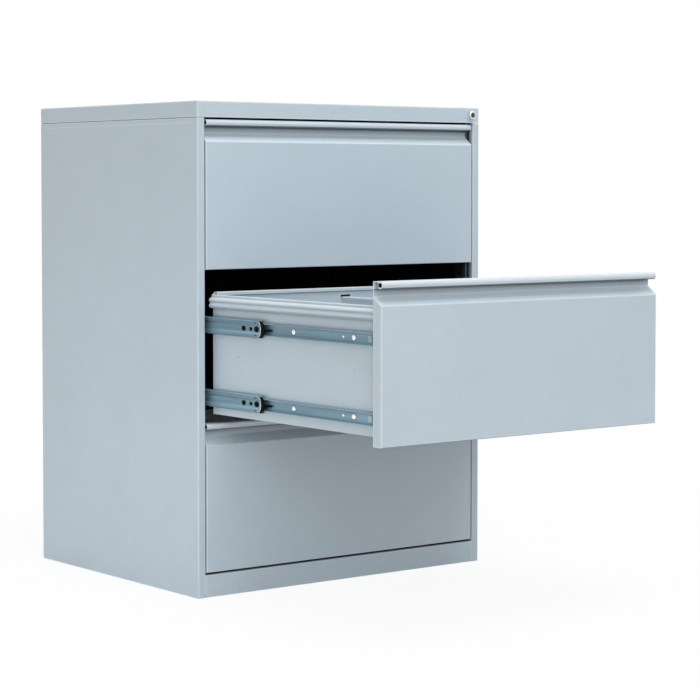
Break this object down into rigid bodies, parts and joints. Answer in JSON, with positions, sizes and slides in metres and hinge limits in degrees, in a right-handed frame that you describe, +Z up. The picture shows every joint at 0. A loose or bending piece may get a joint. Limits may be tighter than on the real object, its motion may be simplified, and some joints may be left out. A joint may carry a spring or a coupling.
{
  "type": "filing cabinet",
  "caption": "Steel lateral filing cabinet with full-extension drawers on paired telescopic slides, full-width pulls, hanging-file rails and a cam lock in the top rail.",
  "frame": {"origin": "on the floor, below the middle of the box around the cabinet and its open drawer", "axes": "+X to the viewer's right when facing the fronts, +Y from the fronts to the back, +Z up; drawers open along -Y"},
  "size_m": [0.765, 1.22, 1.03],
  "materials": {
    "carcass_paint": "light blue-grey satin powder coat",
    "drawer_paint": "light blue-grey satin powder coat",
    "slide_zinc": "bright zinc plate",
    "lock_chrome": "polished chrome",
    "lock_steel": "plain zinc plate"
  },
  "bodies": {
    "carcass": {"side_panel_left": "carcass_paint", "side_panel_right": "carcass_paint", "back_panel": "carcass_paint", "top_panel": "carcass_paint", "base_panel": "carcass_paint", "upright_front_left": "carcass_paint", "upright_front_right": "carcass_paint", "upright_rear_left": "carcass_paint", "upright_rear_right": "carcass_paint", "lock_housing": "lock_chrome", "slide_outer_top_left_lower": "slide_zinc", "slide_outer_top_left_upper": "slide_zinc", "slide_outer_top_right_lower": "slide_zinc", "slide_outer_top_right_upper": "slide_zinc", "slide_outer_middle_left_lower": "slide_zinc", "slide_outer_middle_left_upper": "slide_zinc", "slide_outer_middle_right_lower": "slide_zinc", "slide_outer_middle_right_upper": "slide_zinc", "slide_outer_bottom_left_lower": "slide_zinc", "slide_outer_bottom_left_upper": "slide_zinc", "slide_outer_bottom_right_lower": "slide_zinc", "slide_outer_bottom_right_upper": "slide_zinc"},
    "drawer_top": {"drawer_front_top": "drawer_paint", "drawer_tray_top": "drawer_paint", "file_rail_top": "drawer_paint", "slide_inner_top_left_lower": "slide_zinc", "slide_inner_top_left_upper": "slide_zinc", "slide_inner_top_right_lower": "slide_zinc", "slide_inner_top_right_upper": "slide_zinc"},
    "drawer_middle": {"drawer_front_middle": "drawer_paint", "drawer_tray_middle": "drawer_paint", "file_rail_middle": "drawer_paint", "slide_inner_middle_left_lower": "slide_zinc", "slide_inner_middle_left_upper": "slide_zinc", "slide_inner_middle_right_lower": "slide_zinc", "slide_inner_middle_right_upper": "slide_zinc"},
    "drawer_bottom": {"drawer_front_bottom": "drawer_paint", "drawer_tray_bottom": "drawer_paint", "file_rail_bottom": "drawer_paint", "slide_inner_bottom_left_lower": "slide_zinc", "slide_inner_bottom_left_upper": "slide_zinc", "slide_inner_bottom_right_lower": "slide_zinc", "slide_inner_bottom_right_upper": "slide_zinc"},
    "carriers_top": {"slide_carrier_top_left_lower": "slide_zinc", "slide_carrier_top_left_upper": "slide_zinc", "slide_carrier_top_right_lower": "slide_zinc", "slide_carrier_top_right_upper": "slide_zinc"},
    "carriers_middle": {"slide_carrier_middle_left_lower": "slide_zinc", "slide_carrier_middle_left_upper": "slide_zinc", "slide_carrier_middle_right_lower": "slide_zinc", "slide_carrier_middle_right_upper": "slide_zinc"},
    "carriers_bottom": {"slide_carrier_bottom_left_lower": "slide_zinc", "slide_carrier_bottom_left_upper": "slide_zinc", "slide_carrier_bottom_right_lower": "slide_zinc", "slide_carrier_bottom_right_upper": "slide_zinc"},
    "lock_plug": {"lock_plug": "lock_chrome", "lock_cam": "lock_steel"},
    "lock_bar": {"lock_bar": "lock_steel"}
  },
  "joints": [
    {"name": "drawer_top_slide", "type": "slide", "parent": "carcass", "child": "drawer_top", "axis": [0, -1, 0], "range_m": [0, 0.58]},
    {"name": "drawer_middle_slide", "type": "slide", "parent": "carcass", "child": "drawer_middle", "axis": [0, -1, 0], "range_m": [-0.58, 0]},
    {"name": "drawer_bottom_slide", "type": "slide", "parent": "carcass", "child": "drawer_bottom", "axis": [0, -1, 0], "range_m": [0, 0.58]},
    {"name": "carriers_top_slide", "type": "slide", "parent": "carcass", "child": "carriers_top", "axis": [0, -1, 0], "range_m": [0, 0.29]},
    {"name": "carriers_middle_slide", "type": "slide", "parent": "carcass", "child": "carriers_middle", "axis": [0, -1, 0], "range_m": [-0.29, 0]},
    {"name": "carriers_bottom_slide", "type": "slide", "parent": "carcass", "child": "carriers_bottom", "axis": [0, -1, 0], "range_m": [0, 0.29]},
    {"name": "lock_turn", "type": "hinge", "parent": "carcass", "child": "lock_plug", "pos_m": [0.3555, -0.02, 1.013], "axis": [0, 1, 0], "range_deg": [0, 90]},
    {"name": "lock_bar_drop", "type": "slide", "parent": "carcass", "child": "lock_bar", "axis": [0, 0, -1], "range_m": [0, 0.02206]}
  ],
  "couplings": [
    {"joint": "carriers_top_slide", "follows": "drawer_top_slide", "ratio": 0.5},
    {"joint": "carriers_middle_slide", "follows": "drawer_middle_slide", "ratio": 0.5},
    {"joint": "carriers_bottom_slide", "follows": "drawer_bottom_slide", "ratio": 0.5},
    {"joint": "lock_turn", "follows": "lock_bar_drop", "rad_per_m": 71.2}
  ]
}
